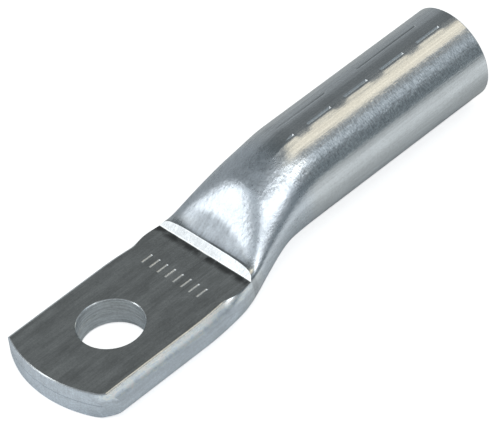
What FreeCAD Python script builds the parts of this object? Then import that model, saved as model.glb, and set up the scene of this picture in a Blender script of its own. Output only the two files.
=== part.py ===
import FreeCAD, Part
import math
import os

# Aluminium compression cable lug, in millimetres. It is one length of thick tube: one end stays
# round for the cable, and the other is pressed flat, coined thinner and punched as the palm.
# The origin is the centre of the stud hole on the contact face. +X points to the barrel's mouth,
# and +Z points up, away from the surface that the palm is bolted to.

# The tube
tube_outer = 16.0
tube_bore = 9.8

# Places along X, measured from the centre of the stud hole
palm_tip_reach = 13.8
edge_taper_start = 7.8
root_full_start = 13.5
belly_round_start = 14.7
middle_rise_start = 16.6
root_full_end = 18.5
coined_reach = 19.5
crown_round_end = 29.3
belly_round_end = 32.1
middle_rise_end = 32.3
edge_taper_end = 36.2
shoulder_end = 39.4
barrel_reach = 74.5

# The flattened end
palm_half_width = 11.4
palm_thickness = 4.9
palm_edge_height = 2.3
palm_lean = 0.9
press_squeeze = 0.1
underside_press = 0.25
riser_angle = 45.0

# The shoulder's crown line: its first slope, then the height and slope where it eases
crown_start_slope = 0.4
crown_turn_reach = 29.0
crown_turn_height = 12.7
crown_turn_slope = 0.46

# How square the corners of the flattened section are, where cos 45 deg is round
palm_squareness = 1.35
root_squareness = 3.4
belly_squareness = 1.5
hollow_squareness = 1.6
squareness_fade = 0.48

# The palm's rounded tip
tip_radius = 22.1
tip_offset = 0.5
left_corner_from_middle = 10.3
left_corner_radius = 0.8
left_corner_turn = 75.0
right_corner_from_middle = 9.2
right_corner_radius = 2.0
right_corner_turn = 45.0
tip_seam_width = 0.12
tip_seam_depth = 0.12

# The stud hole
hole_radius = 5.25
hole_edge_break = 0.17

# The cable bore and the barrel's mouth
bore_slit = 1.2
mouth_lead_in = 0.6
mouth_edge_break = 0.3

# The stamped marks along the top of the barrel, which show where to crimp it
mark_width = 0.45
mark_depth = 0.2
narrow_mark_length = 5.0
narrow_mark_pitch = 8.0
narrow_mark_from_mouth = 3.5
narrow_mark_count = 5
narrow_mark_turn = 8.5
wide_mark_length = 13.0
wide_mark_pitch = 20.0
wide_mark_from_mouth = 5.5
wide_mark_count = 2
wide_mark_turn = -13.5

# Worked out from the sizes above
tube_radius = tube_outer / 2
bore_radius = tube_bore / 2
wall = tube_radius - bore_radius
flat_height = 2 * wall - press_squeeze
riser_height = flat_height - palm_thickness
shoulder_start = coined_reach + riser_height / math.tan(math.radians(riser_angle))

ROUND = math.cos(math.radians(45.0))
outer_section_count = 20
bore_section_count = 6
CLEAR = 5.0


def ease(x, start, end, power=1.0):
    """A share that rises smoothly from 0 at start to 1 at end, early where power is below 1."""
    u = min(max((x - start) / (end - start), 0.0), 1.0) ** power
    return u * u * (3 - 2 * u)


def mix(first, second, share):
    return first + (second - first) * share


def stations(start, end, count):
    """Evenly spaced places from start to end, both included."""
    return [mix(start, end, i / (count - 1)) for i in range(count)]


def climb(x, start, end):
    """The height at x between two marks of (place, height, slope), with no corner at either."""
    run = end[0] - start[0]
    t = (x - start[0]) / run
    bend = start[2] * run * t * (1 - t) ** 2 + end[2] * run * t * t * (t - 1)
    return mix(start[1], end[1], t * t * (3 - 2 * t)) + bend


def crown_height(x):
    """The section's top: the doubled wall, then a climb that is steep at first and then eases."""
    start = (shoulder_start, flat_height, crown_start_slope)
    turn = (crown_turn_reach, crown_turn_height, crown_turn_slope)
    end = (shoulder_end, tube_outer, 0.0)
    x = min(max(x, shoulder_start), shoulder_end)
    return climb(x, start, turn) if x < crown_turn_reach else climb(x, turn, end)


def upper_squareness(x):
    full = mix(palm_squareness, root_squareness, ease(x, root_full_start, root_full_end))
    return mix(full, ROUND, ease(x, shoulder_start, crown_round_end, squareness_fade))


def pressed_run(x):
    """How far along the shoulder x lies, where the pressed underside runs out to the barrel."""
    return min(max((x - belly_round_start) / (shoulder_end - belly_round_start), 0.0), 1.0)


def edge_half_width(x):
    return mix(palm_half_width, tube_radius, ease(x, edge_taper_start, edge_taper_end))


def four_quarters(x, half, top, middle, bottom, upper, lower, lean):
    """A closed outline at x: four conic curves between its top, its two edges and its bottom."""

    def point(y, z):
        shift = lean * max(0.0, 1 - z / palm_thickness)
        return FreeCAD.Vector(x, y - shift, z)

    def quarter(side, height, square):
        curve = Part.BezierCurve()
        curve.setPoles([point(0, height), point(side * half, height), point(side * half, middle)])
        curve.setWeight(2, square)
        return curve.toShape()

    corners = [(1, top, upper), (1, bottom, lower), (-1, bottom, lower), (-1, top, upper)]
    return Part.Wire(Part.__sortEdges__([quarter(*corner) for corner in corners]))


def round_outline(x, radius):
    top = tube_radius + radius
    bottom = tube_radius - radius
    return four_quarters(x, radius, top, tube_radius, bottom, ROUND, ROUND, 0.0)


def outer_outline(x):
    half = edge_half_width(x)
    belly = ease(x, belly_round_start, belly_round_end)
    middle = mix(palm_edge_height, tube_radius, ease(x, middle_rise_start, middle_rise_end))
    upper = upper_squareness(x)
    lower = mix(belly_squareness, ROUND, belly)
    lean = palm_lean * (1 - belly)
    bottom = -underside_press * (1 - pressed_run(x))
    return four_quarters(x, half, crown_height(x), middle, bottom, upper, lower, lean)


def bore_outline(x):
    """The hollow at x: the outer outline less the wall, which closes to a slit at the palm."""
    half = edge_half_width(x) - wall
    top = crown_height(x) - wall
    middle = (top + wall) / 2
    square = mix(hollow_squareness, ROUND, ease(x, shoulder_start, shoulder_end))
    return four_quarters(x, half, top, middle, wall, square, square, 0.0)


def bore_closing_point():
    """Where the hollow is no higher than the slit that pressing leaves."""
    low, high = shoulder_start, shoulder_end
    for _ in range(40):
        x = (low + high) / 2
        if crown_height(x) - 2 * wall > bore_slit:
            high = x
        else:
            low = x
    return high


def extrude_outline(outline, run):
    return Part.Face(outline).extrude(FreeCAD.Vector(run, 0, 0))


def round_barrel():
    """The part of the tube that stays round, with the outer edge of its mouth broken."""
    run = barrel_reach - shoulder_end
    start = FreeCAD.Vector(shoulder_end, 0, tube_radius)
    along = FreeCAD.Vector(1, 0, 0)
    barrel = Part.makeCylinder(tube_radius, run - mouth_edge_break, start, along)
    last = start + along * (run - mouth_edge_break)
    narrow = tube_radius - mouth_edge_break
    return barrel.fuse(Part.makeCone(tube_radius, narrow, mouth_edge_break, last, along))


def pressed_tube():
    """The palm's straight sides, the lofted shoulder and the round barrel, as one solid."""
    blank_end = -palm_tip_reach - CLEAR
    palm = extrude_outline(outer_outline(blank_end), edge_taper_start - blank_end)
    outlines = [outer_outline(x) for x in stations(edge_taper_start, shoulder_end, outer_section_count)]
    outlines[-1] = round_outline(shoulder_end, tube_radius)
    shoulder = Part.makeLoft(outlines, True, False)
    return palm.fuse([shoulder, round_barrel()]).removeSplitter()


def prism(points, run):
    """A closed polygon pushed along run."""
    corners = [FreeCAD.Vector(*point) for point in points]
    return Part.Face(Part.makePolygon(corners + corners[:1])).extrude(FreeCAD.Vector(*run))


def coined_space():
    """What the press takes off the palm's top, with the slanted riser behind it."""
    left = -palm_tip_reach - 2 * CLEAR
    high = flat_height + CLEAR
    side = -palm_half_width - CLEAR
    profile = [
        (left, side, palm_thickness),
        (coined_reach, side, palm_thickness),
        (shoulder_start, side, flat_height),
        (shoulder_start, side, high),
        (left, side, high),
    ]
    return prism(profile, (0, -2 * side, 0))


def underside_space():
    """What the press takes off below the contact face, as far as the round barrel."""
    left = -palm_tip_reach - 2 * CLEAR
    side = palm_half_width + CLEAR
    corner = FreeCAD.Vector(left, -side, -CLEAR)
    return Part.makeBox(shoulder_end - left, 2 * side, CLEAR, corner)


def tip_corner(side, from_middle, corner_radius, turn, trim, base):
    """A corner arc that leaves the tip's arc, and the straight slant that follows its turn."""
    near = math.asin((from_middle - side * tip_offset) / tip_radius)
    far = math.radians(turn)
    reach = tip_radius - corner_radius
    centre_x = tip_radius - palm_tip_reach - reach * math.cos(near)
    centre_y = tip_offset + side * reach * math.sin(near)
    radius = corner_radius - trim

    def on_corner(angle):
        y = centre_y + side * radius * math.sin(angle)
        return FreeCAD.Vector(centre_x - radius * math.cos(angle), y, base)

    start, end = on_corner(near), on_corner(far)
    corner = Part.Arc(start, on_corner((near + far) / 2), end).toShape()
    off = end + FreeCAD.Vector(math.sin(far), side * math.cos(far), 0) * tip_radius
    return start, off, [corner, Part.makeLine(end, off)]


def tip_blank(trim, height, base):
    """A slab that ends in the palm's rounded tip, trim short of the finished outline."""
    left_start, left_off, left = tip_corner(
        1, left_corner_from_middle, left_corner_radius, left_corner_turn, trim, base,
    )
    right_start, right_off, right = tip_corner(
        -1, right_corner_from_middle, right_corner_radius, right_corner_turn, trim, base,
    )
    apex = FreeCAD.Vector(trim - palm_tip_reach, tip_offset, base)
    front = Part.Arc(left_start, apex, right_start).toShape()
    rear_left = FreeCAD.Vector(barrel_reach + CLEAR, left_off.y, base)
    rear_right = FreeCAD.Vector(barrel_reach + CLEAR, right_off.y, base)
    rear = Part.makePolygon([left_off, rear_left, rear_right, right_off]).Edges
    outline = Part.Wire(Part.__sortEdges__([front] + left + right + rear))
    return Part.Face(outline).extrude(FreeCAD.Vector(0, 0, height))


def tip_seam():
    """The hairline between the two pressed walls, where the cut tip shows it."""
    base = palm_thickness / 2 - tip_seam_width / 2
    width = 2 * (palm_half_width - wall)
    corner = FreeCAD.Vector(-palm_tip_reach - CLEAR, -width / 2, base)
    slab = Part.makeBox(palm_tip_reach, width, tip_seam_width, corner)
    return slab.cut(tip_blank(tip_seam_depth, tip_seam_width, base))


def stud_hole():
    """The punched hole, with both of its edges broken."""
    hole = Part.makeCylinder(hole_radius, palm_thickness)
    wide = hole_radius + hole_edge_break
    lower = Part.makeCone(wide, hole_radius, hole_edge_break)
    start = FreeCAD.Vector(0, 0, palm_thickness - hole_edge_break)
    upper = Part.makeCone(hole_radius, wide, hole_edge_break, start)
    return hole.fuse([lower, upper])


def cable_bore():
    """The round bore from the mouth, and behind it the hollow that the pressing closed."""
    mouth = FreeCAD.Vector(barrel_reach, 0, tube_radius)
    back = FreeCAD.Vector(-1, 0, 0)
    bore = Part.makeCylinder(bore_radius, barrel_reach - shoulder_end, mouth, back)
    entry = Part.makeCone(bore_radius + mouth_lead_in, bore_radius, mouth_lead_in, mouth, back)
    closing = bore_closing_point()
    outlines = [bore_outline(x) for x in stations(closing, shoulder_end, bore_section_count)]
    outlines[-1] = round_outline(shoulder_end, bore_radius)
    hollow = Part.makeLoft(outlines, True, False)
    return bore.fuse([entry, hollow])


def mark_groove(start, length, turn):
    """One straight V groove with slanted ends, sunk into the barrel at turn from its top."""
    high = tube_outer + mark_depth
    root = tube_outer - mark_depth
    end_run = mark_width / 2
    first = start - end_run
    last = start + length + end_run
    vee = [(first, -mark_width, high), (first, 0, root), (first, mark_width, high)]
    boat = [
        (first, -mark_width, high),
        (start + end_run, -mark_width, root),
        (start + length - end_run, -mark_width, root),
        (last, -mark_width, high),
    ]
    groove = prism(vee, (last - first, 0, 0)).common(prism(boat, (0, 2 * mark_width, 0)))
    axis = FreeCAD.Vector(0, 0, tube_radius)
    return groove.rotate(axis, FreeCAD.Vector(1, 0, 0), turn)


def mark_row(from_mouth, length, pitch, count, turn):
    first = barrel_reach - from_mouth - length
    return [mark_groove(first - i * pitch, length, turn) for i in range(count)]


def crimp_marks():
    """Five narrow marks for narrow crimps, and beside them two wide marks for wide ones."""
    narrow = mark_row(
        narrow_mark_from_mouth, narrow_mark_length, narrow_mark_pitch,
        narrow_mark_count, narrow_mark_turn,
    )
    wide = mark_row(
        wide_mark_from_mouth, wide_mark_length, wide_mark_pitch,
        wide_mark_count, wide_mark_turn,
    )
    return narrow + wide


def cable_lug():
    """The pressed tube with its tip trimmed, its palm coined, and its holes and marks cut."""
    lug = pressed_tube().common(tip_blank(0.0, tube_outer + 2 * CLEAR, -CLEAR))
    spaces = [underside_space(), coined_space(), cable_bore(), stud_hole(), tip_seam()]
    for space in spaces + crimp_marks():
        lug = lug.cut(space)
    return lug


os.makedirs("parts", exist_ok=True)
lug = cable_lug()
lug.exportStep("parts/cable_lug.step")
print("cable_lug valid", lug.isValid(), "volume", round(lug.Volume, 1), "box", lug.optimalBoundingBox())
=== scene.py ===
import math

import bmesh
import bpy
import numpy as np
from mathutils import Matrix, Vector


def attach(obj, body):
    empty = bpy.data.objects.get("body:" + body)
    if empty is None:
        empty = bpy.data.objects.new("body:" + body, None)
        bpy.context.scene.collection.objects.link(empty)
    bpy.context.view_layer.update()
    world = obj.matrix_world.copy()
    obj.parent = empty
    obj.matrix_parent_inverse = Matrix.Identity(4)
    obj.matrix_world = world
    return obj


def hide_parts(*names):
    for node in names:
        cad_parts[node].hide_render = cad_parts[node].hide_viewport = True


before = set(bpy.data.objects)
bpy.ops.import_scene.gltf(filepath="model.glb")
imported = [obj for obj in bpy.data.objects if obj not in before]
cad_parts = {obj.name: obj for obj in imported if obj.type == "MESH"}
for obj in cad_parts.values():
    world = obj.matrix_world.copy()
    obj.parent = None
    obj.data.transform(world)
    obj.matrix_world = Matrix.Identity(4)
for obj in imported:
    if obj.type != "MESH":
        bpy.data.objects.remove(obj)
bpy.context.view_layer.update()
MM = 0.001

# ## The pressed tube
# The lug is one length of thick drawn aluminium tube. One end stays round for the cable, and the
# press flattened the other into the palm, then coined its top thinner behind a slanted riser.
# The tube is a grid of sections along X; its cuts follow in the sections below.

tube_radius = 8.0
mouth_edge_break = 0.3

# Places along X, from the centre of the stud hole
palm_tip_reach = 13.8
edge_taper_start = 7.8
root_full_start = 13.5
belly_round_start = 14.7
middle_rise_start = 16.6
root_full_end = 18.5
coined_reach = 19.5
crown_round_end = 29.3
belly_round_end = 32.1
middle_rise_end = 32.3
edge_taper_end = 36.2
shoulder_end = 39.4
barrel_reach = 74.5

# The flattened end, and the line that the shoulder's crown climbs
palm_half_width = 11.4
palm_thickness = 4.9
palm_edge_height = 2.3
palm_lean = 0.9
underside_press = 0.25
flat_height = 6.1
shoulder_start = coined_reach + flat_height - palm_thickness
crown_start_slope = 0.4
crown_turn_reach = 29.0
crown_turn_height = 12.7
crown_turn_slope = 0.46

# How square the corners of a section are, where cos 45 degrees is round
ROUND = math.cos(math.radians(45))
palm_squareness = 1.35
root_squareness = 3.4
belly_squareness = 1.5
squareness_fade = 0.48


def ease(x, start, end, power=1.0):
    """A share that rises smoothly from 0 at start to 1 at end, early where power is below 1."""
    u = min(max((x - start) / (end - start), 0.0), 1.0) ** power
    return u * u * (3 - 2 * u)


def mix(first, second, share):
    return first + (second - first) * share


def climb(x, start, end):
    """The height at x between two marks of (place, height, slope), with no corner at either."""
    run = end[0] - start[0]
    t = (x - start[0]) / run
    bend = start[2] * run * t * (1 - t) ** 2 + end[2] * run * t * t * (t - 1)
    return mix(start[1], end[1], t * t * (3 - 2 * t)) + bend


def crown_height(x):
    """The section's top: the doubled wall, then a climb that is steep at first and then eases."""
    start = (shoulder_start, flat_height, crown_start_slope)
    turn = (crown_turn_reach, crown_turn_height, crown_turn_slope)
    end = (shoulder_end, 2 * tube_radius, 0.0)
    x = min(max(x, shoulder_start), shoulder_end)
    return climb(x, start, turn) if x < crown_turn_reach else climb(x, turn, end)


def upper_squareness(x):
    full = mix(palm_squareness, root_squareness, ease(x, root_full_start, root_full_end))
    return mix(full, ROUND, ease(x, shoulder_start, crown_round_end, squareness_fade))


def edge_half_width(x):
    return mix(palm_half_width, tube_radius, ease(x, edge_taper_start, edge_taper_end))


SAMPLES = 401
TURN_WEIGHT = 0.9


def conic(first, corner, last, square, count):
    """Points along a conic curve, closer together where it turns, without its last point."""
    t = np.linspace(0, 1, SAMPLES)[:, None]
    pulls = ((1 - t) ** 2, 2 * t * (1 - t) * square, t ** 2)
    marks = (np.array(first), np.array(corner), np.array(last))
    points = sum(mark * pull for mark, pull in zip(marks, pulls)) / sum(pulls)
    step = np.diff(points, axis=0)
    length = np.hypot(step[:, 0], step[:, 1])
    turn = np.abs(np.diff(np.unwrap(np.arctan2(step[:, 1], step[:, 0]))))
    weight = length / length.sum() + TURN_WEIGHT * np.append(turn, 0) / turn.sum()
    travel = np.append(0, np.cumsum(weight))
    at = np.linspace(0, travel[-1], count + 1)[:-1]
    return np.stack([np.interp(at, travel, points[:, axis]) for axis in (0, 1)], axis=1)


def section(half, top, middle, bottom, upper, lower, lean, count):
    """A closed outline of four conic curves, anticlockwise from its top towards -Y."""

    def point(y, z):
        return (y - lean * max(0.0, 1 - z / palm_thickness), z)

    marks = [point(0, top), point(-half, middle), point(0, bottom), point(half, middle)]
    corners = [point(-half, top), point(-half, bottom), point(half, bottom), point(half, top)]
    squares = [upper, lower, lower, upper]
    quarters = [
        conic(marks[i], corners[i], marks[(i + 1) % 4], squares[i], count) for i in range(4)
    ]
    return np.concatenate(quarters)


def round_section(radius, count):
    top, bottom = tube_radius + radius, tube_radius - radius
    return section(radius, top, tube_radius, bottom, ROUND, ROUND, 0.0, count)


def tube_section(x, count):
    """The outside of the pressed tube at x, with its underside pressed flat on the contact face."""
    belly = ease(x, belly_round_start, belly_round_end)
    middle = mix(palm_edge_height, tube_radius, ease(x, middle_rise_start, middle_rise_end))
    run_out = (x - belly_round_start) / (shoulder_end - belly_round_start)
    bottom = -underside_press * (1 - min(max(run_out, 0.0), 1.0))
    outline = section(
        edge_half_width(x), crown_height(x), middle, bottom, upper_squareness(x),
        mix(belly_squareness, ROUND, belly), palm_lean * (1 - belly), count,
    )
    outline[:, 1] = np.maximum(outline[:, 1], 0.0)
    return outline


def closed_piece(name, points, faces):
    """A new object with a closed mesh over points in millimetres, its faces turned outwards."""
    mesh = bpy.data.meshes.new(name)
    mesh.from_pydata([(x * MM, y * MM, z * MM) for x, y, z in points], [], faces)
    mesh.validate()
    form = bmesh.new()
    form.from_mesh(mesh)
    bmesh.ops.recalc_face_normals(form, faces=form.faces)
    form.to_mesh(mesh)
    form.free()
    piece = bpy.data.objects.new(name, mesh)
    bpy.context.scene.collection.objects.link(piece)
    return piece


def skin(name, rings):
    """A closed piece over rings of points, each joined to the next, with both ends capped."""
    count = len(rings[0])
    last = (len(rings) - 1) * count
    faces = []
    for start in range(0, last, count):
        for j in range(count):
            k = (j + 1) % count
            faces.append((start + j, start + count + j, start + count + k, start + k))
    faces.append(tuple(range(count)))
    faces.append(tuple(reversed(range(last, last + count))))
    return closed_piece(name, [point for ring in rings for point in ring], faces)


def loft(name, places, outlines):
    """A skin over outlines that stand across X, one at each place."""
    return skin(name, [[(x, y, z) for y, z in outline] for x, outline in zip(places, outlines)])


QUARTER_POINTS = 56
palm_step, shoulder_step, barrel_step = 1.0, 0.35, 0.4
stations = np.concatenate([
    np.arange(-palm_tip_reach - palm_step, edge_taper_start, palm_step),
    np.arange(edge_taper_start, shoulder_end, shoulder_step),
    np.arange(shoulder_end, barrel_reach - 1, barrel_step),
    [barrel_reach - mouth_edge_break],
])
outlines = [tube_section(x, QUARTER_POINTS) for x in stations]
mouth = round_section(tube_radius - mouth_edge_break, QUARTER_POINTS)
tube = loft("pressed tube", np.append(stations, barrel_reach), outlines + [mouth])

# ## The cutters for the palm, the hole and the bore
# The tip is sheared to a wide arc with its edge broken, the stud hole is punched through both
# walls, and the bore runs from the mouth until the pressing closes it. Each cutter is a closed
# mesh of what was taken away.

CLEAR = 5.0
side_reach = palm_half_width + CLEAR
back_reach = -palm_tip_reach - 2 * CLEAR
above_flat = flat_height + CLEAR
coined_profile = [
    (back_reach, palm_thickness), (coined_reach, palm_thickness), (shoulder_start, flat_height),
    (shoulder_start, above_flat), (back_reach, above_flat),
]
coined = skin("coined space", [
    [(x, y, z) for x, z in coined_profile] for y in (-side_reach, side_reach)
])

tip_radius = 22.1
tip_offset = 0.5
tip_edge_break = 0.2
left_corner = {"from_middle": 10.3, "radius": 0.8, "turn": 75.0}
right_corner = {"from_middle": 9.2, "radius": 2.0, "turn": 45.0}
ARC_POINTS = 61
CORNER_POINTS = 9


def tip_half(side, corner, trim):
    """Where the tip's arc ends on one side, and the corner arc and the slant that follow it."""
    near = math.asin((corner["from_middle"] - side * tip_offset) / tip_radius)
    far = math.radians(corner["turn"])
    reach = tip_radius - corner["radius"]
    centre_x = tip_radius - palm_tip_reach - reach * math.cos(near)
    centre_y = tip_offset + side * reach * math.sin(near)
    radius = corner["radius"] - trim
    points = [
        (centre_x - radius * math.cos(angle), centre_y + side * radius * math.sin(angle))
        for angle in np.linspace(near, far, CORNER_POINTS)
    ]
    x, y = points[-1]
    points.append((x + CLEAR * math.sin(far), y + side * CLEAR * math.cos(far)))
    return near, points


def tip_path(trim):
    """The tip's outline from its left slant round to its right one, trim inside the finish."""
    near_left, left = tip_half(1, left_corner, trim)
    near_right, right = tip_half(-1, right_corner, trim)
    radius = tip_radius - trim
    arc = [
        (tip_radius - palm_tip_reach - radius * math.cos(angle),
         tip_offset + radius * math.sin(angle))
        for angle in np.linspace(near_left, -near_right, ARC_POINTS)[1:-1]
    ]
    return left[::-1] + arc + right


def walled(name, levels, outer):
    """A closed piece between an outer path and an inner path that moves in with height."""
    count = len(outer)
    points = [(x, y, z) for z, path in levels for x, y in path]
    points += [(x, y, z) for z in (levels[0][0], levels[-1][0]) for x, y in outer]
    rim_low = len(levels) * count
    rim_high = rim_low + count
    top = rim_low - count
    faces = []
    for i in range(count - 1):
        for low in range(0, top, count):
            faces.append((low + i, low + i + 1, low + count + i + 1, low + count + i))
        faces.append((rim_low + i, rim_high + i, rim_high + i + 1, rim_low + i + 1))
        faces.append((rim_low + i, rim_low + i + 1, i + 1, i))
        faces.append((rim_high + i, top + i, top + i + 1, rim_high + i + 1))
    for i in (0, count - 1):
        faces.append((rim_low + i, *range(i, rim_low, count), rim_high + i))
    return closed_piece(name, points, faces)


tip_cut = walled("tip offcut", [
    (-CLEAR, tip_path(0.0)),
    (palm_thickness - tip_edge_break, tip_path(0.0)),
    (palm_thickness, tip_path(tip_edge_break)),
    (above_flat, tip_path(tip_edge_break)),
], tip_path(-CLEAR))

# The pressed walls meet in a hairline, which shows round the cut tip and inside the hole.
seam_depth = 0.08
seam_width = 0.08
seam_low = (palm_thickness - seam_width) / 2
seam_high = (palm_thickness + seam_width) / 2
seam_path = tip_path(seam_depth)[2:-2]
tip_seam = walled("tip seam", [(seam_low, seam_path), (seam_high, seam_path)],
                  tip_path(-1.0)[2:-2])

hole_radius = 5.25
hole_edge_break = 0.12
hole_flare = hole_radius + hole_edge_break + 1
hole_profile = [
    # radius, height
    (hole_flare, -1), (hole_radius, hole_edge_break), (hole_radius, seam_low),
    (hole_radius + seam_depth, palm_thickness / 2), (hole_radius, seam_high),
    (hole_radius, palm_thickness - hole_edge_break), (hole_flare, palm_thickness + 1),
]
HOLE_POINTS = 96
hole_angles = [math.tau * j / HOLE_POINTS for j in range(HOLE_POINTS)]
stud_hole = skin("stud hole core", [
    [(radius * math.cos(angle), radius * math.sin(angle), height) for angle in hole_angles]
    for radius, height in hole_profile
])

bore_radius = 4.9
wall = tube_radius - bore_radius
bore_slit = 1.2
hollow_squareness = 1.6
mouth_lead_in = 0.6
BORE_QUARTER_POINTS = 20


def hollow_section(x, count):
    """The hollow at x: the outside less the wall, which closes to a slit at the palm."""
    half = edge_half_width(x) - wall
    top = crown_height(x) - wall
    square = mix(hollow_squareness, ROUND, ease(x, shoulder_start, shoulder_end))
    return section(half, top, (top + wall) / 2, wall, square, square, 0.0, count)


hollow_places = [x for x in np.arange(shoulder_start, shoulder_end, 0.5)
                 if crown_height(x) - 2 * wall > bore_slit]
bore_outlines = [hollow_section(x, BORE_QUARTER_POINTS) for x in hollow_places]
for radius in (bore_radius, bore_radius, bore_radius + mouth_lead_in + 1):
    bore_outlines.append(round_section(radius, BORE_QUARTER_POINTS))
bore_places = hollow_places + [shoulder_end, barrel_reach - mouth_lead_in, barrel_reach + 1]
bore = loft("cable bore core", bore_places, bore_outlines)

# ## The crimp marks and the stamped bars
# Two rows of short grooves are rolled into the top of the barrel, and show the fitter where to
# crimp: five narrow ones, each above a low bank, and beside them two wide ones. A plain row of
# bars is stamped on the palm. A node tree sets out each row and makes every cut in the tube.

narrow_marks = {"length": 5.0, "width": 0.45, "depth": 0.2, "end_run": 0.225,
                "count": 5, "pitch": 8.0, "from_mouth": 3.5, "turn": 8.5}
wide_marks = {"length": 13.0, "width": 0.55, "depth": 0.08, "end_run": 0.09,
              "count": 2, "pitch": 20.0, "from_mouth": 5.5, "turn": -13.5}
palm_bars = {"length": 2.2, "width": 0.4, "depth": 0.12, "end_run": 0.2,
             "count": 8, "pitch": 1.7, "from_hole": 12.1}
bank_height = 0.07
bank_gap = 1.0
bank_spread = 7.0
bank_rise = 0.1
bank_run = 0.4


def bank(x, turn):
    """How far the barrel stands out at x, at a turn in degrees from its top towards -Y."""
    below = (turn - narrow_marks["turn"] - bank_gap) / bank_spread
    if not 0 < below < 1:
        return 0.0
    for i in range(narrow_marks["count"]):
        end = barrel_reach - narrow_marks["from_mouth"] - i * narrow_marks["pitch"]
        start = end - narrow_marks["length"]
        share = ease(x, start - bank_run, start) * (1 - ease(x, end, end + bank_run))
        if share > 0:
            return bank_height * share * (1 - below) * ease(below, 0, bank_rise)
    return 0.0


for vertex in tube.data.vertices:
    across = vertex.co.y / MM
    rise = vertex.co.z / MM - tube_radius
    if vertex.co.x > edge_taper_start * MM and rise > 0:
        out = bank(vertex.co.x / MM, math.degrees(math.atan2(-across, rise)))
        if out:
            scale = 1 + out / math.hypot(across, rise)
            vertex.co.y = across * scale * MM
            vertex.co.z = (tube_radius + rise * scale) * MM


def groove(name, size):
    """One V groove along X with slanted ends, sunk into a face at height 0."""
    length, width, depth, end_run = (size[key] for key in ("length", "width", "depth", "end_run"))
    last = length + end_run
    top = [(-end_run, -width, depth), (-end_run, width, depth),
           (last, width, depth), (last, -width, depth)]
    keel = [(end_run, 0, -depth), (length - end_run, 0, -depth)]
    return closed_piece(name, top + keel, [
        (0, 3, 2, 1), (0, 4, 5, 3), (2, 5, 4, 1), (0, 1, 4), (3, 5, 2),
    ])


def row_inputs(row, size, start, pitch, turn=0.0, axis_height=0.0):
    """The tree's inputs for one row: its groove, and where the row starts, runs and turns."""
    return {
        row + " groove": groove(row.lower() + " groove", size),
        row + " count": size["count"],
        row + " start": tuple(place * MM for place in start),
        row + " pitch": tuple(step * MM for step in pitch),
        row + " turn": math.radians(turn),
        row + " axis": (0.0, 0.0, axis_height * MM),
    }


values = {
    "Coined space": coined, "Tip offcut": tip_cut, "Tip seam": tip_seam,
    "Stud hole": stud_hole, "Cable bore": bore,
}
cutters = list(values)
for row, size in (("Narrow", narrow_marks), ("Wide", wide_marks)):
    first = barrel_reach - size["from_mouth"] - size["length"]
    values.update(row_inputs(row, size, (first, 0, tube_radius), (-size["pitch"], 0, 0),
                             size["turn"], tube_radius))
half_row = (palm_bars["count"] - 1) / 2 * palm_bars["pitch"]
values.update(row_inputs("Stamped", palm_bars, (palm_bars["from_hole"], -half_row, palm_thickness),
                         (0, palm_bars["pitch"], 0)))
rows = ["Narrow", "Wide", "Stamped"]
helpers = [values[name] for name in cutters + [row + " groove" for row in rows]]


def named_input(tree, name, kind, value=None):
    socket = tree.interface.new_socket(name, in_out="INPUT", socket_type="NodeSocket" + kind)
    if value is not None:
        socket.default_value = value


def add(tree, kind, values, **settings):
    """A node with its settings and inputs, linked where a value is another node's output."""
    item = tree.nodes.new(kind)
    for key, value in settings.items():
        setattr(item, key, value)
    for key, value in values.items():
        if isinstance(value, bpy.types.NodeSocket):
            tree.links.new(value, item.inputs[key])
        else:
            item.inputs[key].default_value = value
    return item


tree = bpy.data.node_groups.new("cut lug", "GeometryNodeTree")
named_input(tree, "Geometry", "Geometry")
row_kinds = {"groove": "Object", "count": "Int", "start": "Vector", "pitch": "Vector",
             "turn": "Float", "axis": "Vector"}
for row in rows:
    for part, kind in row_kinds.items():
        named_input(tree, row + " " + part, kind)
for name in cutters:
    named_input(tree, name, "Object")
named_input(tree, "Finish", "Material")
tree.interface.new_socket("Geometry", in_out="OUTPUT", socket_type="NodeSocketGeometry")
lug_inputs = tree.nodes.new("NodeGroupInput").outputs


def groove_row(row):
    """Instances of one groove, repeated by its pitch, then turned about an axis along X."""
    mark = add(tree, "GeometryNodeObjectInfo", {"Object": lug_inputs[row + " groove"]})
    line = add(tree, "GeometryNodeMeshLine", {
        "Count": lug_inputs[row + " count"], "Start Location": lug_inputs[row + " start"],
        "Offset": lug_inputs[row + " pitch"]}, mode="OFFSET")
    repeated = add(tree, "GeometryNodeInstanceOnPoints", {
        "Points": line.outputs["Mesh"], "Instance": mark.outputs["Geometry"]})
    turn = add(tree, "ShaderNodeCombineXYZ", {"X": lug_inputs[row + " turn"]})
    placed = add(tree, "GeometryNodeTransform", {
        "Geometry": repeated.outputs["Instances"], "Rotation": turn.outputs[0],
        "Translation": lug_inputs[row + " axis"]})
    return placed.outputs["Geometry"]


cut = add(tree, "GeometryNodeMeshBoolean", {"Mesh 1": lug_inputs["Geometry"]},
          operation="DIFFERENCE", solver="EXACT")
for name in cutters:
    cutter = add(tree, "GeometryNodeObjectInfo", {"Object": lug_inputs[name]})
    tree.links.new(cutter.outputs["Geometry"], cut.inputs["Mesh 2"])
for row in rows:
    tree.links.new(groove_row(row), cut.inputs["Mesh 2"])
whole = add(tree, "GeometryNodeRealizeInstances", {"Geometry": cut.outputs["Mesh"]})
finished = add(tree, "GeometryNodeSetMaterial", {
    "Geometry": whole.outputs["Geometry"], "Material": lug_inputs["Finish"]})
add(tree, "NodeGroupOutput", {"Geometry": finished.outputs["Geometry"]})

# ## The finish
# Bare aluminium: the barrel keeps the fine lines of drawing, the press left the palm's top smooth
# and smeared, its sides and cut tip matt, and the foot of the shoulder scuffed by the tool.
# Some shade and highlight is painted into the colour too: shade at the riser's foot and just above
# its top edge, a highlight along the palm's upper -Y side, and a riser that brightens towards -Y.

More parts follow.
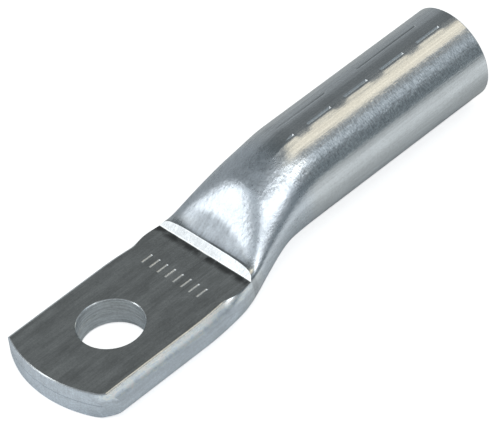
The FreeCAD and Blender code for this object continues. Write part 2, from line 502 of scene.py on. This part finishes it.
uneven = bpy.data.node_groups.new("uneven", "ShaderNodeTree")
named_input(uneven, "Position", "Vector")
named_input(uneven, "Cell size", "Vector", (1.0, 1.0, 1.0))
named_input(uneven, "Detail", "Float", 2.0)
uneven.interface.new_socket("Value", in_out="OUTPUT", socket_type="NodeSocketFloat")
uneven_inputs = uneven.nodes.new("NodeGroupInput").outputs
cells = add(uneven, "ShaderNodeVectorMath", {
    0: uneven_inputs["Position"], 1: uneven_inputs["Cell size"]}, operation="DIVIDE")
field = add(uneven, "ShaderNodeTexNoise", {
    "Vector": cells.outputs[0], "Scale": 1.0, "Detail": uneven_inputs["Detail"]})
spread = add(uneven, "ShaderNodeMapRange", {
    "Value": field.outputs[0], "From Min": 0.25, "From Max": 0.75, "To Min": -1.0, "To Max": 1.0})
add(uneven, "NodeGroupOutput", {"Value": spread.outputs[0]})

aluminium = bpy.data.materials.new("bare aluminium")
aluminium.use_nodes = True
finish = aluminium.node_tree
metal = finish.nodes["Principled BSDF"].inputs
metal["Metallic"].default_value = 1.0

# From here to the end of the section every position and height is in millimetres.
in_metres = add(finish, "ShaderNodeTexCoord", {}).outputs["Object"]
position = add(finish, "ShaderNodeVectorMath", {0: in_metres, "Scale": 1 / MM},
               operation="SCALE").outputs[0]
at_x, at_y, at_z = add(finish, "ShaderNodeSeparateXYZ", {0: position}).outputs


def unevenness(x, y, z, detail):
    """Values from -1 to 1 in cells of a size along each axis."""
    return add(finish, "ShaderNodeGroup", {
        "Position": position, "Cell size": (x, y, z), "Detail": detail,
    }, node_tree=uneven).outputs[0]


def calc(operation, first, second=0.0, third=0.0):
    return add(finish, "ShaderNodeMath", {0: first, 1: second, 2: third},
               operation=operation).outputs[0]


def both(first, second):
    return calc("MULTIPLY", first, second)


def layered(base, *layers):
    """The base plus each pattern or share times its amount."""
    for pattern, amount in layers:
        base = calc("MULTIPLY_ADD", pattern, amount, base)
    return base


def between(value, low, high, at_low=0.0, at_high=1.0):
    """A smooth change from at_low to at_high while value goes from low to high."""
    return add(finish, "ShaderNodeMapRange", {
        "Value": value, "From Min": low, "From Max": high, "To Min": at_low, "To Max": at_high,
    }, interpolation_type="SMOOTHSTEP").outputs[0]


def blend(share, first, second):
    return add(finish, "ShaderNodeMix", {0: share, 2: first, 3: second}).outputs[0]


def hue_blend(share, first, second):
    return add(finish, "ShaderNodeMix", {0: share, 4: first, 5: second},
               data_type="VECTOR").outputs[1]


# The metal's own unevenness: the cells along X, Y and Z, and the detail within a cell
grain = unevenness(0.28, 0.28, 0.28, 1.0)
lines = unevenness(14.0, 0.35, 0.35, 2.0)
clouds = unevenness(3.0, 2.4, 2.4, 3.0)
ripples = unevenness(1.2, 0.7, 0.7, 3.0)
drags = unevenness(4.0, 0.7, 4.0, 2.0)
smears = unevenness(6.0, 1.6, 2.0, 4.0)
rings = unevenness(4.0, 4.0, 0.3, 2.0)
scratches = unevenness(0.24, 0.7, 0.5, 3.0)

# Where each kind of working lies, and where shade or highlight is painted, as shares from 0 to 1
palm_top = both(between(at_z, palm_thickness - 0.04, palm_thickness - 0.005),
                between(at_x, coined_reach, coined_reach + 0.1, 1.0, 0.0))
below_top = between(at_z, palm_thickness - 0.2, palm_thickness - 0.1, 1.0, 0.0)
# The upper band of the palm's -Y side, where a highlight is painted into the colour and the metal
# is glossier.
side_highlight_band = both(between(at_z, 3.1, 4.2), between(at_y, -8.0, -10.0))
# A painted shade along the foot of the riser, broken up by the clouds.
foot = both(between(at_x, coined_reach - 1.6, coined_reach - 0.6), palm_top)
foot_painted_shade = both(foot, between(clouds, -0.6, 0.2))
riser = both(between(at_x, coined_reach - 0.05, coined_reach + 0.25),
             between(at_x, shoulder_start - 0.15, shoulder_start + 0.1, 1.0, 0.0))
# A painted shade just above the riser's top edge, on its -Y part.
crease_painted_shade = both(between(at_x, shoulder_start + 0.15, shoulder_start + 0.4, 1.0, 0.0),
              between(at_y, 2.0, -1.5))
bright_flank = both(between(at_y, -3.7, -4.7), between(at_z, 11.0, 12.6))
shoulder = both(between(at_x, shoulder_start, shoulder_start + 2.3),
                between(at_x, shoulder_end - 6.4, shoulder_end - 2.4, 1.0, 0.0))

# The hole's wall ends just outside hole_radius, by the square of the distance from its axis.
distance_squared = layered(both(at_y, at_y), (at_x, at_x))
hole_wall = both(below_top, between(distance_squared, 28.0, 28.6, 1.0, 0.0))
palm_side = both(between(at_x, 15.0, 22.0, 1.0, 0.0), calc("SUBTRACT", below_top, hole_wall))

# The tool's scuff ends in an arc that reaches farthest up the shoulder at its middle.
scuff_middle = 1.8
scuff_bow = 0.032
off_middle = calc("SUBTRACT", at_y, scuff_middle)
scuff_edge = layered(at_x, (both(off_middle, off_middle), scuff_bow), (drags, 0.3))
scuffed = both(between(scuff_edge, 23.3, 24.6, 1.0, 0.0),
               between(at_x, shoulder_start, shoulder_start + 0.15))
scuffed = both(scuffed, between(at_y, 2.5, 7.5, 1.0, 0.25))

flank_scratches = both(scratches, bright_flank)
# The palm's top: smeared tone, darkened by the painted shade at the riser's foot.
palm_tone = both(layered(0.83, (smears, 0.17)), layered(1.0, (foot_painted_shade, -0.7)))
# The scuff: dragged tone, darkened by the painted shade above the riser.
scuff_tone = both(layered(0.92, (drags, 0.17)), layered(1.0, (crease_painted_shade, -0.5)))
# The palm's sides: smeared tone, with a painted highlight along the upper band, mottled by the
# ripples.
side_tone = layered(0.94, (smears, 0.08), (side_highlight_band, layered(0.30, (ripples, 0.24))))
# The riser: smeared tone, painted brighter towards -Y as a painted highlight.
riser_smears_and_highlight = layered(between(at_y, 3.0, -8.0, 0.66, 0.80), (smears, 0.1))
wall_tone = layered(0.92, (rings, 0.25))
tone = layered(1.0, (grain, 0.08), (clouds, 0.05), (lines, 0.1), (flank_scratches, 0.3))
for share, part_tone in ((palm_top, palm_tone), (scuffed, scuff_tone), (palm_side, side_tone),
                         (riser, riser_smears_and_highlight), (hole_wall, wall_tone)):
    tone = both(tone, blend(share, 1.0, part_tone))

drawn_hue, worked_hue, palm_hue = (0.765, 0.81, 0.835), (0.735, 0.80, 0.86), (0.785, 0.81, 0.80)
worked = calc("MAXIMUM", calc("MAXIMUM", palm_side, scuffed), shoulder)
hue = hue_blend(palm_top, hue_blend(worked, drawn_hue, worked_hue), palm_hue)
colour = add(finish, "ShaderNodeVectorMath", {0: hue, "Scale": tone}, operation="SCALE")
finish.links.new(colour.outputs[0], metal["Base Color"])

roughness = layered(
    0.21, (grain, 0.02), (clouds, 0.02), (palm_side, layered(0.36, (side_highlight_band, -0.19))),
    (scuffed, 0.22), (hole_wall, 0.15), (shoulder, 0.08),
)
finish.links.new(roughness, metal["Roughness"])

ripple_height = layered(0.002, (calc("MAXIMUM", bright_flank, shoulder), 0.009))
relief = layered(both(lines, 0.0022), (ripples, ripple_height), (grain, 0.0016),
                 (flank_scratches, 0.003))
bump = add(finish, "ShaderNodeBump", {"Strength": 1.0, "Distance": MM, "Height": relief})
finish.links.new(bump.outputs[0], metal["Normal"])
values["Finish"] = aluminium

sharp_angle = math.radians(24)
shaping = tube.modifiers.new("cut lug", "NODES")
shaping.node_group = tree
for item in tree.interface.items_tree:
    if item.in_out == "INPUT" and item.name in values:
        shaping[item.identifier] = values[item.name]
depsgraph = bpy.context.evaluated_depsgraph_get()
cut_mesh = bpy.data.meshes.new_from_object(tube.evaluated_get(depsgraph))
cut_mesh.name = "lug body"
tube.modifiers.remove(shaping)
tube.data = cut_mesh
for helper in helpers:
    bpy.data.objects.remove(helper)
tube.name = "lug_body"
cut_mesh.shade_smooth()
cut_mesh.set_sharp_from_angle(angle=sharp_angle)
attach(tube, "root")
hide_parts("cable_lug")

# ## The floor, the light and the camera
# A pale table under three soft panels, one overhead, one low on the left and one on the right,
# in a dim room with paler and darker patches. The metal mirrors all of them.

FLOOR_REACH = 3.0
floor_drop = 0.2
floor_mesh = bpy.data.meshes.new("floor")
floor_mesh.from_pydata([
    (-FLOOR_REACH, -FLOOR_REACH, 0), (FLOOR_REACH, -FLOOR_REACH, 0),
    (FLOOR_REACH, FLOOR_REACH, 0), (-FLOOR_REACH, FLOOR_REACH, 0),
], [], [(0, 1, 2, 3)])
floor = bpy.data.objects.new("floor", floor_mesh)
floor.location.z = -floor_drop * MM
bpy.context.scene.collection.objects.link(floor)
pale = bpy.data.materials.new("pale floor")
pale.use_nodes = True
floor_tree = pale.node_tree
floor_finish = floor_tree.nodes["Principled BSDF"].inputs
floor_finish["Base Color"].default_value = (0.74, 0.76, 0.77, 1)
floor_finish["Roughness"].default_value = 1.0
floor_finish["Specular IOR Level"].default_value = 0.0
floor_finish["Emission Color"].default_value = (1, 1, 1, 1)

# To the camera the floor glows white. The metal sees a softer glow beside the lug and off its tip.
floor_ray = add(floor_tree, "ShaderNodeLightPath", {}).outputs
floor_place = add(floor_tree, "ShaderNodeTexCoord", {}).outputs["Object"]
floor_x, floor_y, _ = add(floor_tree, "ShaderNodeSeparateXYZ", {0: floor_place}).outputs
near_lug = add(floor_tree, "ShaderNodeMapRange", {
    "Value": floor_y, "From Min": -7 * MM, "From Max": -23 * MM, "To Max": 0.27,
}, interpolation_type="SMOOTHSTEP")
far_off = add(floor_tree, "ShaderNodeMapRange", {
    "Value": floor_y, "From Min": -35 * MM, "From Max": -100 * MM, "To Min": 1.0, "To Max": 0.2})
tip_sheen = add(floor_tree, "ShaderNodeMapRange", {
    "Value": floor_x, "From Min": -11 * MM, "From Max": -16 * MM, "To Max": 0.3,
}, interpolation_type="SMOOTHSTEP")
side_sheen = add(floor_tree, "ShaderNodeMath", {0: near_lug.outputs[0], 1: far_off.outputs[0]},
                 operation="MULTIPLY")
sheen = add(floor_tree, "ShaderNodeMath", {0: side_sheen.outputs[0], 1: tip_sheen.outputs[0]},
            operation="MAXIMUM")
mirrored = add(floor_tree, "ShaderNodeMath", {0: sheen.outputs[0], 1: floor_ray["Is Glossy Ray"]},
               operation="MULTIPLY")
glow = add(floor_tree, "ShaderNodeMath", {
    0: floor_ray["Is Camera Ray"], 1: 0.75, 2: mirrored.outputs[0]}, operation="MULTIPLY_ADD")
floor_tree.links.new(glow.outputs[0], floor_finish["Emission Strength"])
floor_mesh.materials.append(pale)


def soft_panel(name, towards, along, distance, width, length, power, tint=(1, 1, 1)):
    """An area light that faces the lug from a direction, with its long side lined up."""
    data = bpy.data.lights.new(name, "AREA")
    data.shape = "RECTANGLE"
    data.size = width
    data.size_y = length
    data.energy = power
    data.color = tint
    lamp = bpy.data.objects.new(name, data)
    facing = Vector(towards).normalized()
    side = Vector(along).cross(facing).normalized()
    turn = Matrix((side, facing.cross(side), facing)).transposed()
    lamp.matrix_world = Matrix.Translation(facing * distance) @ turn.to_4x4()
    bpy.context.scene.collection.objects.link(lamp)


soft_panel("overhead panel", towards=(0.45, -0.09, 0.865), along=(-0.9, -0.05, 0.45),
           distance=1.0, width=0.38, length=0.78, power=0.70, tint=(1.0, 0.84, 0.60))
soft_panel("left panel", towards=(-0.569, 0.600, 0.562), along=(0, 0, 1),
           distance=1.2, width=0.55, length=0.50, power=1.395)
soft_panel("right panel", towards=(-0.108, -0.397, 0.907), along=(0.70, -0.608, -0.374),
           distance=1.2, width=0.30, length=1.28, power=2.5)

room_colour = (0.31, 0.325, 0.335, 1)
room_patches = [
    # direction away from the lug, inner angle, outer angle, colour
    ((0.05, 0.50, 0.865), 12, 31, (0.11, 0.125, 0.132)),
    ((0.455, 0.505, 0.735), 6, 28, (0.155, 0.165, 0.17)),
    ((0.47, -0.87, 0.16), 8, 26, (0.15, 0.175, 0.19)),
    ((0.46, -0.64, 0.62), 5, 14, (0.33, 0.375, 0.41)),
    ((0.37, -0.66, 0.655), 3, 10, (0.80, 0.85, 0.90)),
    ((-0.50, 0.10, 0.86), 6, 18, (0.40, 0.43, 0.45)),
    ((-0.41, 0.42, 0.81), 3, 8, (1.05, 1.10, 1.15)),
    ((-0.15, -0.98, 0.10), 6, 18, (0.50, 0.52, 0.54)),
]
world = bpy.data.worlds.new("studio")
bpy.context.scene.world = world
world.use_nodes = True
studio = world.node_tree
studio.nodes.clear()
outwards = add(studio, "ShaderNodeTexCoord", {}).outputs["Generated"]
for direction, inner, outer, tint in room_patches:
    aligned = add(studio, "ShaderNodeVectorMath", {
        0: outwards, 1: Vector(direction).normalized()}, operation="DOT_PRODUCT")
    within = add(studio, "ShaderNodeMapRange", {
        "Value": aligned.outputs["Value"], "From Min": math.cos(math.radians(outer)),
        "From Max": math.cos(math.radians(inner))}, interpolation_type="SMOOTHSTEP")
    patched = add(studio, "ShaderNodeMix", {
        0: within.outputs["Result"], 6: room_colour, 7: (*tint, 1)}, data_type="RGBA")
    room_colour = patched.outputs[2]
room_ray = add(studio, "ShaderNodeLightPath", {}).outputs
backdrop = add(studio, "ShaderNodeMix", {
    0: room_ray["Is Camera Ray"], 6: room_colour, 7: (1, 1, 1, 1)}, data_type="RGBA")
background = add(studio, "ShaderNodeBackground", {"Color": backdrop.outputs[2]})
add(studio, "ShaderNodeOutputWorld", {"Surface": background.outputs[0]})

camera_data = bpy.data.cameras.new("camera")
camera_data.lens = 289.04
camera_data.sensor_width = 36.0
camera_data.clip_start = 0.01
camera_data.clip_end = 20.0
camera = bpy.data.objects.new("camera", camera_data)
camera_place = Vector((-256.88, -348.73, 413.58)) * MM
right = Vector((0.705241, -0.701218, -0.104540))
down = Vector((-0.529952, -0.423457, -0.734735))
away = Vector((0.470941, 0.573566, -0.670251))
turn = Matrix((right, -down, -away)).transposed()
camera.matrix_world = Matrix.Translation(camera_place) @ turn.to_4x4()
bpy.context.scene.collection.objects.link(camera)
bpy.context.scene.camera = camera
bpy.context.scene.view_settings.view_transform = "Standard"
